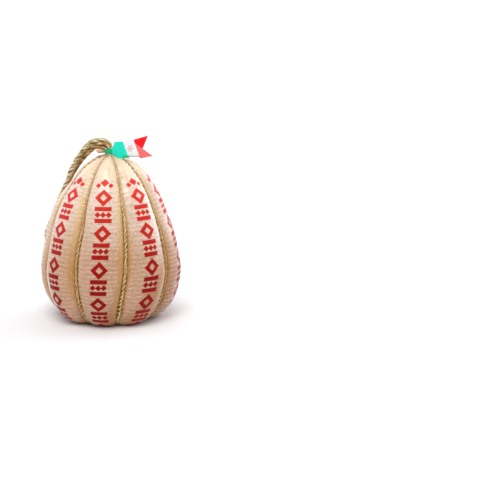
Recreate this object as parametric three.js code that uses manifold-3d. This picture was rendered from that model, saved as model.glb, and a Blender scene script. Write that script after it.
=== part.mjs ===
// A large ribbed provolone in the shape of a pear, held in a net of eight cords.
// The cords run in grooves between the eight ribs and meet in a tie at the neck and in
// another beneath the base, and their ends leave the neck tie as a short bundle. A rope
// loop for hanging the cheese leaves the neck tie too, lies over the left shoulder and hangs
// down the back, and a stiff two-tailed pennant is held at the tie by its narrow tongue.
// Millimetres, +Z up, the front towards -Y, the origin on the floor below the middle.
import * as THREE from "three";
import { mergeVertices } from "three/addons/utils/BufferGeometryUtils.js";
import Module from "manifold-3d";

// Body: a pear profile turned about +Z, widest at BELLY_HEIGHT. A place on the profile is
// u, from 0 at the top to 1 at the middle of the base, with these ends of its stretches.
const SHOULDER_END = 0.5;
const ROUND_END = 0.78;
const BASE_END = 0.88;
const HEIGHT = 365;
const BELLY_RADIUS = 156.5;
const BELLY_HEIGHT = 114;
const SHOULDER_FULLNESS = 1.4; // exponents of the curve from the belly up to the neck
const SHOULDER_ROUNDNESS = 0.43;
const FOOT_RADIUS = 86; // where the lower round meets the base
const PAD_SINK = 1.2; // how far the cheese has settled flat on its ribs
const DIMPLE_RADIUS = 40; // hollow under the base, where the cords gather
const DIMPLE_DEPTH = 17;
const DIMPLE_STEEPNESS = 1.3; // the dimple reaches its depth at 1 / 1.3 of the way in
const NECK = new THREE.Vector2(2.4, -3); // middle of the neck, a little off the axis
const NECK_LEAN_FROM = 225; // height at which the body starts to lean to the neck

// Ribs and the grooves between them.
const RIBS = 8;
const GROOVE_DEPTH = 0.085; // as a share of the body's radius
const GROOVE_POWER = 2.6; // how sharply a rib turns down into its grooves
const BASE_GROOVE_DEPTH = 8.5;
const FIRST_GROOVE = 13; // degrees from the front, towards +X
const RIB_SWELL = [0.006, -0.004, 0.003, 0.006, -0.002, 0.003, -0.006, 0.002];
// The rope lies on the ribs of the left shoulder and has flattened them near the neck.
const RIB_SLUMP = [0, 0, 0, 0.02, 0.06, 0.1, 0, 0];
const SLUMP_FROM = 250;
const SLUMP_FULL = 325;
// Each groove drifts sideways as the ribs settle: degrees at the neck, waist and foot.
const NECK_DRIFT = [1.5, -3, 1, 0, -2, -1, 6, 4];
const WAIST_DRIFT = [1.8, -0.8, -1, 1, 0.5, -1, -1.5, 3];
const FOOT_DRIFT = [-7, -8, -4, -2, 1, 2, -1, 1];
const NECK_DRIFT_FROM = 235;
const WAIST_DRIFT_AT = 235;
const WAIST_DRIFT_REACH = 90;
const FOOT_DRIFT_BELOW = 175;

// Facets of the body: rows down the profile, and columns across each rib from -1 to 1.
const BODY_ROWS = 28;
const RIB_COLUMNS = [-1, -0.8, -0.4, 0, 0.4, 0.8];

// Net cords and the two ties that gather them.
const CORD_RADIUS = 3.4;
const CORD_LIFT = 1.4; // the cord's middle above the floor of its groove
const CORD_CLEARANCE = 0.9; // radial room of the channel that the cord has pressed
const CORD_POINTS = 30;
const CORD_STEPS = 17;
const CORD_SIDES = 6;
const NECK_RING = 12.5; // the cords' ends stand on this radius about the neck
const BASE_RING = 14;
const TIE_GAP = 0.4;
const BASE_TIE_GAP = 1.4;
const NECK_TIE_RADIUS = 8.2;
const NECK_TIE_TOP = 378.6;
const BASE_TIE_RADIUS = 12;
const BASE_TIE_BOTTOM = 3.5;
const NECK_TIE_TURNS = 3;
const BASE_TIE_TURNS = 2;
const TIE_BULGE = 1.2; // of each turn of a tie
const TIE_RIM = 1.6; // how far a tie's ends round in
const TIE_SIDES = 12;

// The net cords' ends, a short bundle that leaves the neck tie to the left.
const CORD_ENDS_FROM = new THREE.Vector3(-7.4, 2.2, 374.4);
const CORD_ENDS_TO = new THREE.Vector3(-26.4, -3.4, 377.2);
const CORD_ENDS_OUTLINE = [ // [radius, share of the way]
  [4.2, 0],
  [5.0, 0.15],
  [4.7, 0.4],
  [3.6, 0.8],
  [2.6, 1],
];
const CORD_ENDS_SIDES = 10;

// Hanging loop: one rope, both ends on top of the neck tie.
const ROPE_RADIUS = 5.3;
const ROPE_STEPS = 58;
const ROPE_SIDES = 8;
const ROPE_ROUTE = [
  [2.9, 4.4, 379.6],
  [2.3, 4.5, 385.3],
  [-1.1, 4.5, 390.7],
  [-7.1, 4.6, 394.4],
  [-21.8, 4.9, 396.3],
  [-37.0, 6.4, 392.6],
  [-49.2, 9.9, 382.2],
  [-54.2, 12.5, 374.7],
  [-59.8, 15.6, 366.5],
  [-71.1, 22.3, 350.1],
  [-78.1, 26.6, 337.6],
  [-84.8, 30.4, 323.4],
  [-94.2, 37.1, 297.9],
  [-100.3, 41.4, 284.0],
  [-109.7, 47.1, 264.0],
  [-118.8, 51.0, 242.0],
  [-127.3, 52.0, 220.0],
  [-135.9, 50.6, 199.0],
  [-142.7, 49.9, 179.0],
  [-142.4, 56.0, 163.0],
  [-133.6, 70.0, 154.5],
  [-122.0, 82.6, 162.0],
  [-116.6, 86.8, 179.0],
  [-113.2, 82.6, 199.0],
  [-110.6, 75.0, 220.0],
  [-107.2, 67.8, 242.0],
  [-101.7, 61.0, 264.0],
  [-96.1, 55.6, 284.0],
  [-92.0, 51.5, 297.8],
  [-86.8, 47.1, 309.4],
  [-80.9, 42.3, 320.2],
  [-65.8, 32.9, 344.2],
  [-58.1, 28.6, 354.0],
  [-44.5, 17.8, 369.7],
  [-32.0, 5.2, 381.8],
  [-25.1, -0.2, 385.8],
  [-17.8, -4.0, 388.1],
  [-9.9, -6.2, 388.5],
  [-2.7, -6.9, 386.7],
  [2.9, -6.7, 383.1],
];

// Pennant: a card strip that stands on edge, seen from the front as PENNANT_OUTLINE
// (X, Z) and from above as PENNANT_PLAN (X, Y).
const PENNANT_THICKNESS = 1.4;
const PENNANT_OUTLINE = [
  [-12.0, 369.4],
  [-12.0, 378.0],
  [-0.2, 381.0],
  [7.6, 381.6],
  [10.4, 387.0],
  [13.4, 397.0],
  [31.0, 399.8],
  [54.7, 403.1],
  [86.5, 411.1],
  [74.1, 383.6],
  [96.3, 367.2],
  [68.6, 361.9],
  [66.7, 366.0],
  [44.2, 363.8],
  [29.8, 361.0],
  [22.2, 361.0],
  [15.2, 363.4],
  [8.4, 368.4],
  [2.0, 369.2],
];
const TONGUE_RADIUS = 9.9; // of the tongue's middle, round the neck tie
const TONGUE_FROM = 188; // degrees of the tongue's arc about the tie, +X being 0
const TONGUE_TO = 279;
const TONGUE_STEP = 13;
const PENNANT_STEPS = 28;
const PENNANT_PLAN = [
  [14.5, -20.6],
  [24.0, -29.6],
  [38.0, -32.4],
  [56.0, -35.0],
  [76.0, -37.4],
  [98.0, -39.4],
];

const DEGREE = Math.PI / 180;
const RIB_ANGLE = 360 / RIBS;

const FINISHES = {
  rind: new THREE.MeshStandardMaterial({ color: 0xdcb98c, roughness: 0.4, metalness: 0 }),
  cord: new THREE.MeshStandardMaterial({ color: 0x8d7340, roughness: 0.9, metalness: 0 }),
  rope: new THREE.MeshStandardMaterial({ color: 0xa98a58, roughness: 0.9, metalness: 0 }),
  card: new THREE.MeshStandardMaterial({ color: 0x27d9b2, roughness: 0.5, metalness: 0 }),
};

const wasm = await Module();
wasm.setup();

const smooth = (x) => THREE.MathUtils.smoothstep(x, 0, 1);

// The profile as [radius, height] at u.
function profilePoint(u) {
  if (u < SHOULDER_END) {
    const s = Math.cos((u / SHOULDER_END) * 90 * DEGREE);
    const share = Math.max(0, 1 - s ** SHOULDER_FULLNESS) ** SHOULDER_ROUNDNESS;
    return [BELLY_RADIUS * share, BELLY_HEIGHT + (HEIGHT - BELLY_HEIGHT) * s];
  }
  if (u < ROUND_END) {
    const turn = ((u - SHOULDER_END) / (ROUND_END - SHOULDER_END)) * 90 * DEGREE;
    const radius = FOOT_RADIUS + (BELLY_RADIUS - FOOT_RADIUS) * Math.cos(turn);
    return [radius, BELLY_HEIGHT - (BELLY_HEIGHT + PAD_SINK) * Math.sin(turn)];
  }
  if (u < BASE_END) {
    const share = (u - ROUND_END) / (BASE_END - ROUND_END);
    return [FOOT_RADIUS + (DIMPLE_RADIUS - FOOT_RADIUS) * share, -PAD_SINK];
  }
  const share = (u - BASE_END) / (1 - BASE_END);
  const hollow = DIMPLE_DEPTH * smooth(DIMPLE_STEEPNESS * share);
  return [DIMPLE_RADIUS * (1 - share), hollow - PAD_SINK];
}

// The profile's outward direction in the plane of radius and height.
function profileNormal(u) {
  const step = 1e-3;
  const [r0, z0] = profilePoint(Math.max(0, u - step));
  const [r1, z1] = profilePoint(Math.min(1, u + step));
  const length = Math.hypot(r1 - r0, z1 - z0);
  return [(z0 - z1) / length, (r1 - r0) / length];
}

function grooveDepth(u) {
  const [radius, height] = profilePoint(u);
  const depth = GROOVE_DEPTH * radius;
  return height < BELLY_HEIGHT ? Math.max(depth, BASE_GROOVE_DEPTH) : depth;
}

// Direction of a groove, in degrees from the front towards +X, at a height.
function grooveAngle(index, height) {
  const groove = ((index % RIBS) + RIBS) % RIBS;
  const neck = smooth((height - NECK_DRIFT_FROM) / (HEIGHT - NECK_DRIFT_FROM));
  const waist = smooth(1 - Math.abs(height - WAIST_DRIFT_AT) / WAIST_DRIFT_REACH);
  const foot = smooth((FOOT_DRIFT_BELOW - height) / FOOT_DRIFT_BELOW);
  const drift =
    NECK_DRIFT[groove] * neck + WAIST_DRIFT[groove] * waist + FOOT_DRIFT[groove] * foot;
  return FIRST_GROOVE + index * RIB_ANGLE + drift;
}

function leanAt(height) {
  return smooth((height - NECK_LEAN_FROM) / (HEIGHT - NECK_LEAN_FROM));
}

function placed(radius, degrees, height) {
  const lean = leanAt(height);
  return new THREE.Vector3(
    NECK.x * lean + radius * Math.sin(degrees * DEGREE),
    NECK.y * lean - radius * Math.cos(degrees * DEGREE),
    height,
  );
}

// A point of the skin: u along the profile, rib, and across from -1 to 1 over the rib.
function skinPoint(u, rib, across) {
  const [radius, height] = profilePoint(u);
  const [outward, upward] = profileNormal(u);
  const drop = grooveDepth(u) * Math.abs(across) ** GROOVE_POWER;
  const slump = RIB_SLUMP[rib] * smooth((height - SLUMP_FROM) / (SLUMP_FULL - SLUMP_FROM));
  const swell = 1 + (RIB_SWELL[rib] - slump) * (1 - across * across);
  const from = grooveAngle(rib, height);
  const to = grooveAngle(rib + 1, height);
  const angle = from + ((to - from) * (across + 1)) / 2;
  const r = Math.max(0, radius - outward * drop) * swell;
  return placed(r, angle, Math.max(0, height - upward * drop));
}

// The cord's middle at u, which lies in groove `index` a little above its floor.
function cordPoint(u, index) {
  const [radius, height] = profilePoint(u);
  const [outward, upward] = profileNormal(u);
  const drop = grooveDepth(u) - CORD_LIFT;
  return placed(radius - outward * drop, grooveAngle(index, height), height - upward * drop);
}

// One closed surface from rings of points, with a single point at each end.
function closedSkin(top, rings, bottom) {
  const positions = [top, ...rings.flat(), bottom].flatMap((p) => [p.x, p.y, p.z]);
  const count = rings[0].length;
  const indices = [];
  const at = (ring, i) => 1 + ring * count + (i % count);
  const last = positions.length / 3 - 1;
  for (let i = 0; i < count; i++) {
    indices.push(0, at(0, i), at(0, i + 1));
    for (let ring = 0; ring + 1 < rings.length; ring++) {
      indices.push(at(ring, i), at(ring + 1, i), at(ring + 1, i + 1));
      indices.push(at(ring, i), at(ring + 1, i + 1), at(ring, i + 1));
    }
    indices.push(last, at(rings.length - 1, i + 1), at(rings.length - 1, i));
  }
  const geometry = new THREE.BufferGeometry();
  geometry.setAttribute("position", new THREE.Float32BufferAttribute(positions, 3));
  geometry.setIndex(indices);
  return geometry;
}

function solidOf(geometry) {
  const bare = geometry.clone();
  bare.deleteAttribute("normal");
  bare.deleteAttribute("uv");
  const merged = mergeVertices(bare, 1e-4);
  return new wasm.Manifold(
    new wasm.Mesh({
      numProp: 3,
      vertProperties: new Float32Array(merged.attributes.position.array),
      triVerts: new Uint32Array(merged.index.array),
    }),
  );
}

function geometryOf(solid) {
  const mesh = solid.getMesh();
  const geometry = new THREE.BufferGeometry();
  geometry.setAttribute("position", new THREE.BufferAttribute(mesh.vertProperties, 3));
  geometry.setIndex(new THREE.BufferAttribute(mesh.triVerts, 1));
  geometry.computeVertexNormals();
  return geometry;
}

// A tube of flat-sided section along a curve.
function tube(points, radius, sides, steps) {
  const section = new THREE.Shape();
  for (let i = 0; i < sides; i++) {
    const angle = (i / sides) * 360 * DEGREE;
    const corner = [radius * Math.cos(angle), radius * Math.sin(angle)];
    if (i === 0) section.moveTo(...corner);
    else section.lineTo(...corner);
  }
  section.closePath();
  const path = new THREE.CatmullRomCurve3(points, false, "centripetal");
  return new THREE.ExtrudeGeometry(section, { steps, extrudePath: path });
}

// u between two others at which the profile is this far from its axis.
function profileStation(radius, from, to) {
  let near = from;
  let far = to;
  const rising = profilePoint(to)[0] > profilePoint(from)[0];
  for (let i = 0; i < 40; i++) {
    const middle = (near + far) / 2;
    if (profilePoint(middle)[0] < radius === rising) near = middle;
    else far = middle;
  }
  return near;
}

function cordPoints(index, neckRing, baseRing) {
  const start = profileStation(neckRing, 0, SHOULDER_END);
  const end = profileStation(baseRing, BASE_END, 1);
  const points = [];
  for (let i = 0; i <= CORD_POINTS; i++) {
    points.push(cordPoint(start + ((end - start) * i) / CORD_POINTS, index));
  }
  return points;
}

function cheese() {
  const rings = [];
  for (let row = 1; row < BODY_ROWS; row++) {
    const ring = [];
    for (let rib = 0; rib < RIBS; rib++) {
      for (const across of RIB_COLUMNS) ring.push(skinPoint(row / BODY_ROWS, rib, across));
    }
    rings.push(ring);
  }
  const top = placed(0, 0, HEIGHT);
  const bottom = placed(0, 0, profilePoint(1)[1]);
  let body = solidOf(closedSkin(top, rings, bottom));
  for (let index = 0; index < RIBS; index++) {
    const points = cordPoints(index, NECK_RING - 1, BASE_RING - 1);
    const room = tube(points, CORD_RADIUS + CORD_CLEARANCE, CORD_SIDES, CORD_STEPS);
    body = body.subtract(solidOf(room));
  }
  return geometryOf(body);
}

// A tie of wound cord: a barrel with one bulge for each turn.
function tie(radius, bottom, top, turns) {
  const rim = radius - TIE_RIM;
  const outline = [new THREE.Vector2(0, bottom), new THREE.Vector2(rim, bottom)];
  const steps = turns * 4;
  for (let i = 1; i < steps; i++) {
    const waist = TIE_BULGE * (1 - Math.abs(Math.sin((i / steps) * turns * 180 * DEGREE)));
    outline.push(new THREE.Vector2(radius - waist, bottom + ((top - bottom) * i) / steps));
  }
  outline.push(new THREE.Vector2(rim, top), new THREE.Vector2(0, top));
  const barrel = new THREE.LatheGeometry(outline, TIE_SIDES);
  barrel.rotateX(90 * DEGREE);
  return barrel;
}

// The bundle of cord ends: an outline turned about the line between its two ends.
function cordEnds() {
  const way = CORD_ENDS_TO.clone().sub(CORD_ENDS_FROM);
  const outline = CORD_ENDS_OUTLINE.map(([radius, share]) => [radius, share * way.length()]);
  const closed = [[0, 0], ...outline, [0, way.length()]];
  const points = closed.map((p) => new THREE.Vector2(...p));
  const bundle = new THREE.LatheGeometry(points, CORD_ENDS_SIDES);
  const turn = new THREE.Quaternion().setFromUnitVectors(
    new THREE.Vector3(0, 1, 0),
    way.clone().normalize(),
  );
  bundle.applyQuaternion(turn);
  bundle.translate(...CORD_ENDS_FROM.toArray());
  return bundle;
}

// The pennant's plan drawn up as a curved wall, cut to the outline seen from the front.
function pennant() {
  const half = PENNANT_THICKNESS / 2;
  const middle = [];
  for (let angle = TONGUE_FROM; angle <= TONGUE_TO; angle += TONGUE_STEP) {
    const turn = angle * DEGREE;
    middle.push([
      NECK.x + TONGUE_RADIUS * Math.cos(turn),
      NECK.y + TONGUE_RADIUS * Math.sin(turn),
    ]);
  }
  const line = new THREE.SplineCurve(
    [...middle, ...PENNANT_PLAN].map(([x, y]) => new THREE.Vector2(x, y)),
  );
  const near = [];
  const far = [];
  for (let i = 0; i <= PENNANT_STEPS; i++) {
    const p = line.getPointAt(i / PENNANT_STEPS);
    const along = line.getTangentAt(i / PENNANT_STEPS);
    near.push(new THREE.Vector2(p.x + along.y * half, p.y - along.x * half));
    far.push(new THREE.Vector2(p.x - along.y * half, p.y + along.x * half));
  }
  const room = 20; // by which each extrusion passes the other
  const plan = new THREE.Shape([...near, ...far.reverse()]);
  const wall = new THREE.ExtrudeGeometry(plan, { depth: 4 * room, bevelEnabled: false });
  wall.translate(0, 0, HEIGHT - room);
  const outline = new THREE.Shape(PENNANT_OUTLINE.map(([x, z]) => new THREE.Vector2(x, z)));
  const front = new THREE.ExtrudeGeometry(outline, { depth: 4 * room, bevelEnabled: false });
  front.rotateX(90 * DEGREE);
  front.translate(0, room, 0);
  return geometryOf(solidOf(wall).intersect(solidOf(front)));
}

function named(name, geometry, finish) {
  const mesh = new THREE.Mesh(geometry, finish);
  mesh.name = name;
  return mesh;
}

const provolone = new THREE.Group();
provolone.add(named("cheese", cheese(), FINISHES.rind));
for (let index = 0; index < RIBS; index++) {
  const points = cordPoints(index, NECK_RING, BASE_RING);
  const cord = tube(points, CORD_RADIUS, CORD_SIDES, CORD_STEPS);
  provolone.add(named(`net_cord_${index + 1}`, cord, FINISHES.cord));
}

const neckTieBottom = HEIGHT + TIE_GAP;
const neckTie = named(
  "neck_tie",
  tie(NECK_TIE_RADIUS, neckTieBottom, NECK_TIE_TOP, NECK_TIE_TURNS),
  FINISHES.cord,
);
neckTie.position.set(NECK.x, NECK.y, 0);
const baseTieTop = profilePoint(1)[1] - BASE_TIE_GAP;
const baseTie = named(
  "base_tie",
  tie(BASE_TIE_RADIUS, BASE_TIE_BOTTOM, baseTieTop, BASE_TIE_TURNS),
  FINISHES.cord,
);
provolone.add(neckTie, baseTie);
provolone.add(named("cord_ends", cordEnds(), FINISHES.cord));

const ropePoints = ROPE_ROUTE.map((p) => new THREE.Vector3(...p));
const rope = tube(ropePoints, ROPE_RADIUS, ROPE_SIDES, ROPE_STEPS);
provolone.add(named("hanging_loop", rope, FINISHES.rope));
provolone.add(named("pennant", pennant(), FINISHES.card));

export default provolone;
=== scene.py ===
"""A corded provolone: its ribbed body, its net of cords, its hanging loop and its pennant.

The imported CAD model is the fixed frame. Each operator makes one piece or one group of like
pieces around it, and main() calls them in order. Sizes are in metres and angles in degrees.
"""

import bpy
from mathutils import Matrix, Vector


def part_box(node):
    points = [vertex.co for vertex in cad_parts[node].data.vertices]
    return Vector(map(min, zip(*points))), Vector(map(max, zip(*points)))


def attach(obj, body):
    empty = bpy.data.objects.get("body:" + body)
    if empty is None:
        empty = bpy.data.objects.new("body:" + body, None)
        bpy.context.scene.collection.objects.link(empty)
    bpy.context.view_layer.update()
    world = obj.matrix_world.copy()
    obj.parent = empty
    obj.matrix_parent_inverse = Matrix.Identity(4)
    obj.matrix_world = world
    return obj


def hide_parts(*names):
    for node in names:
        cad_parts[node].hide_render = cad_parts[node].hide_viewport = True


bl_info = {
    "name": "Corded Provolone",
    "version": (1, 0, 0),
    "blender": (4, 5, 0),
    "location": "View3D > Sidebar > Provolone",
    "description": "Builds a ribbed provolone with its net of cords, hanging loop and pennant",
    "category": "Add Mesh",
}

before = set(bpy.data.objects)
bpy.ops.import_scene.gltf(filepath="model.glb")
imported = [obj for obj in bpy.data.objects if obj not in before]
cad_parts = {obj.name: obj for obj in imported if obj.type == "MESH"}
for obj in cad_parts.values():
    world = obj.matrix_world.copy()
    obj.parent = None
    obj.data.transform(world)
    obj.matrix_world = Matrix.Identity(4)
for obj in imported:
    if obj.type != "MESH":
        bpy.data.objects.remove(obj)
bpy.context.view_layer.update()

import math

import bpy
import numpy as np
from bpy.props import FloatProperty, FloatVectorProperty, IntProperty, PointerProperty
from mathutils import Vector

MM = 0.001

# Ends of the stretches of the body's outline, as places from 0 at the top to 1 below, and
# how many places it is measured at.
SHOULDER_END = 0.5
ROUND_END = 0.78
BASE_END = 0.88
FINE_PLACES = 6000
PAD_SINK = 1.2 * MM
DIMPLE_RADIUS = 40 * MM
DIMPLE_DEPTH = 17 * MM
DIMPLE_STEEPNESS = 1.3
NECK = (2.4 * MM, -3 * MM)
NECK_LEAN_FROM = 225 * MM

# Ribs and grooves, as the CAD body has them.
RIBS = 8
RIB_ANGLE = 360 / RIBS
LEFT, FRONT, RIGHT, FAR_RIGHT = 6, 7, 0, 1  # numbers of the ribs that the camera sees
RIB_SWELL = np.array([0.006, -0.004, 0.003, 0.006, -0.002, 0.003, -0.006, 0.002])
RIB_SLUMP = np.array([0, 0, 0, 0.02, 0.06, 0.1, 0, 0])
SLUMP_FROM = 250 * MM
SLUMP_FULL = 325 * MM
NECK_DRIFT = np.array([1.5, -3, 1, 0, -2, -1, 6, 4])
WAIST_DRIFT = np.array([1.8, -0.8, -1, 1, 0.5, -1, -1.5, 3])
FOOT_DRIFT = np.array([-7, -8, -4, -2, 1, 2, -1, 1])
NECK_DRIFT_FROM = 235 * MM
WAIST_DRIFT_AT = 235 * MM
WAIST_DRIFT_REACH = 90 * MM
FOOT_DRIFT_BELOW = 175 * MM

# Small forms of the skin: waves that swell it, wrinkles beside the cords, which are deeper
# near the base and at the neck, and the room that a cord has pressed for itself.
SWELL_WAVE = 85 * MM
RIPPLE_WAVE = 21 * MM
RIPPLE_SHARE = 0.16
WRINKLE_WAVE = 9.5 * MM
WRINKLE_AT = 6 * MM
WRINKLE_REACH = 7.5 * MM
WRINKLE_START = 3 * MM
CORD_ROOM = 0.5 * MM

# The print on the rind, in mm, and how much higher up some ribs its crust begins; the crust is
# partly painted shade.
ROW_PITCH = 9.9
DASH_PITCH = 5
ORNAMENT_REPEAT = 79
ORNAMENT_TOP = 118
FIELD_EDGE = (-0.05, 0.07)
CRUST_AND_SHADE_OFFSETS = {LEFT: -115, FRONT: -40, RIGHT: 58}

# Each net cord's thickness and tone. Where it leaves the neck tie, as its distance from the
# middle and its height, and how it tucks in below, as its distance further in and its drop.
CORD_SHARE = [1, 0.8, 0.8, 0.8, 0.8, 0.8, 0.8, 0.88]
CORD_TONE = [0.85, -0.1, -0.35, -0.35, -0.35, -0.35, -0.35, 0.4]
NECK_GATHER = [(3.6 * MM, 374.5 * MM), (5 * MM, 371.2 * MM), (8 * MM, 367.9 * MM)]
BASE_TUCK = [(5 * MM, 0.6 * MM), (8 * MM, 2.5 * MM)]
CUT_ENDS = Vector((-0.0056, 0.0026, 0.3741)), Vector((-0.0262, -0.0034, 0.3772))

# The two ties: the winding's and its cord's radius, its lowest and highest place, its turns.
NECK_WINDING = (6.6 * MM, 1.7 * MM, 367.2 * MM, 376.8 * MM, 3.2)
BASE_WINDING = (9.6 * MM, 2.2 * MM, 6.2 * MM, 11.8 * MM, 2.2)

# The yarns in a strand: their number, the length of a turn, how far round the strand its
# crevices begin, and how dark the painted shade in them is.
NET_WINDING = {"Yarns": 3, "Pitch": 12 * MM, "Crevice": 0.46, "Depth": 0}
LOOP_WINDING = {"Yarns": 5, "Pitch": 22 * MM, "Crevice": 0.5, "Depth": 0.4}
BAKE_STRIP = 130 * MM  # length of strand in one strip of the flat map
BAKE_GAP = 0.06  # beside each strip, as a share of its width

# Darker stretches of the loop: where along it, how far they reach, and by how much.
LOOP_SHADES = [(25 * MM, 15 * MM, 0.1), (84 * MM, 24 * MM, 0.7), (614 * MM, 25 * MM, 0.4)]

# Distances between the rings of faces along each kind of cord.
LOOP_STEP = 1.5 * MM
NET_STEP = 1.35 * MM
TIE_STEP = 0.9 * MM
CUT_END_STEP = 0.8 * MM

# The loop's route from the top of the neck tie, over the left shoulder, down the back and
# up again to the tie.
LOOP_ROUTE = [
    (0.0029, 0.0044, 0.3796),
    (0.0023, 0.0045, 0.3853),
    (-0.0011, 0.0045, 0.3907),
    (-0.0071, 0.0046, 0.3944),
    (-0.0218, 0.0049, 0.3963),
    (-0.0370, 0.0064, 0.3926),
    (-0.0492, 0.0099, 0.3822),
    (-0.0542, 0.0125, 0.3747),
    (-0.0598, 0.0156, 0.3665),
    (-0.0711, 0.0223, 0.3501),
    (-0.0781, 0.0266, 0.3376),
    (-0.0848, 0.0304, 0.3234),
    (-0.0942, 0.0371, 0.2979),
    (-0.1003, 0.0414, 0.2840),
    (-0.1097, 0.0471, 0.2640),
    (-0.1188, 0.0510, 0.2420),
    (-0.1273, 0.0520, 0.2200),
    (-0.1359, 0.0506, 0.1990),
    (-0.1427, 0.0499, 0.1790),
    (-0.1424, 0.0560, 0.1630),
    (-0.1336, 0.0700, 0.1545),
    (-0.1220, 0.0826, 0.1620),
    (-0.1166, 0.0868, 0.1790),
    (-0.1132, 0.0826, 0.1990),
    (-0.1106, 0.0750, 0.2200),
    (-0.1072, 0.0678, 0.2420),
    (-0.1017, 0.0610, 0.2640),
    (-0.0961, 0.0556, 0.2840),
    (-0.0920, 0.0515, 0.2978),
    (-0.0868, 0.0471, 0.3094),
    (-0.0809, 0.0423, 0.3202),
    (-0.0658, 0.0329, 0.3442),
    (-0.0581, 0.0286, 0.3540),
    (-0.0445, 0.0178, 0.3697),
    (-0.0320, 0.0052, 0.3818),
    (-0.0251, -0.0002, 0.3858),
    (-0.0178, -0.0040, 0.3881),
    (-0.0099, -0.0062, 0.3885),
    (-0.0027, -0.0069, 0.3867),
    (0.0029, -0.0067, 0.3831),
]

# The pennant's layers: fields of colour by their corners, in mm to the right and up, how far
# back the layer lies, and the solid that it stands for.
CARD_FINISHES = ["green", "shaded_green", "white", "coral", "red", "edge"]
FRONT_FIELDS = {
    # Painted shade: the tongue curling round the neck, a darker copy of the green.
    "shaded_green": [
        (-7.4, 368.6), (-7.4, 379.2), (-0.2, 381.0), (7.6, 381.6), (8.4, 368.4), (2.0, 368.1),
    ],
    "green": [
        (7.6, 381.6), (10.4, 387.0), (13.4, 397.0), (31.0, 399.8), (42.7, 366.3),
        (29.8, 361.0), (22.2, 361.0), (15.2, 363.4), (8.4, 368.4),
    ],
    "white": [(31.0, 399.8), (54.7, 403.1), (56.8, 396.0), (66.7, 366.2), (42.7, 366.3)],
    # Painted reflection: the lower tail's pale glare on the red card.
    "coral": [(56.8, 396.0), (74.1, 383.6), (96.3, 367.2), (68.6, 361.9), (66.7, 366.2)],
    "red": [(54.7, 403.1), (86.5, 411.1), (74.1, 383.6), (56.8, 396.0)],
}
BACK_FIELDS = {
    # Painted shade: the back layer's green, darkened where it lies behind the front layer.
    "shaded_green": [
        (9.0, 383.0), (14.0, 396.0), (30.0, 398.6), (44.4, 363.7), (30.4, 362.0),
        (16.0, 365.0), (10.0, 369.0),
    ],
    "white": [(30.0, 398.6), (53.0, 401.0), (66.6, 364.9), (44.4, 363.7)],
    "red": [
        (53.0, 401.0), (84.0, 408.0), (72.0, 383.0), (93.0, 368.0), (68.0, 363.4), (66.6, 364.9),
    ],
}
# Painted shade: the hem is the back layer's shadowed green and grey edge, peeking below the
# front.
HEM_FIELDS = {
    "shaded_green": [(31.2, 368.0), (44.9, 368.1), (44.7, 363.9), (31.2, 362.5)],
    "edge": [(44.9, 367.4), (66.8, 367.3), (66.6, 365.7), (44.9, 365.6)],
}
PENNANT_LAYERS = [
    ("pennant_front", FRONT_FIELDS, -0.42 * MM, "pennant"),
    ("pennant_back", BACK_FIELDS, 0.6 * MM),
    ("pennant_hem", HEM_FIELDS, -1.12 * MM),
]
# The card's curve seen from above, in mm to the right and back, after its tongue's arc.
PENNANT_PLAN = [
    (4, -12.8), (14.5, -20.6), (24, -29.6), (38, -32.4), (56, -35), (76, -37.4), (98, -39.4),
]
TONGUE_RADIUS = 9.9
# Where the flat card is cut so that it can bend, in mm to the right and up.
CUTS_ALONG, CUTS_UP = range(-7, 96, 2), range(362, 411, 4)
ROSETTE = ((46.7 * MM, 383.7 * MM), 7.5 * MM, 9.5 * MM)  # its middle and its half sizes

# The stage: the key light, and the light of the surroundings from each side.
FLOOR_SIZE = 90
FLOOR_DROP = 0.4 * MM
KEY_SPREAD = 34
KEY_WAY = Vector((0.16, 0.75, -1.35))
LOW_AND_HIGH_LIGHT = (0.25, 0.25, 0.25), (0.8, 0.8, 0.8)
BACK_LIGHT = (0.95, 0.95, 0.95)
LEFT_AND_RIGHT_LIGHT = (1.4, 1.5, 1.75), (2.7, 2.85, 3.1)


def paint(red, green, blue):
    """A colour as scene values, from its everyday 0 to 255 values."""
    shares = [v / 255 for v in (red, green, blue)]
    return tuple(v / 12.92 if v <= 0.04045 else ((v + 0.055) / 1.055) ** 2.4 for v in shares)


# Colours of the print's small marks, by the chance from which each is used, and of the soft
# specks under them, with the strength of each.
DASH_INKS = {
    0: paint(140, 106, 80),
    0.36: paint(196, 116, 104),
    0.58: paint(138, 132, 150),
    0.76: paint(128, 130, 92),
}
SPECKS = [
    (0.62, paint(255, 204, 204)), (0.62, paint(204, 232, 196)), (0.6, paint(222, 232, 255)),
]


def number_of(name, description, default):
    return FloatProperty(name=name, description=description, default=default)


def length_of(name, description, default):
    return FloatProperty(
        name=name, description=description, default=default, unit="LENGTH", precision=4
    )


def colour_of(name, description, default):
    return FloatVectorProperty(
        name=name, description=description, default=default, subtype="COLOR", size=3,
        min=0, max=1,
    )


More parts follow.
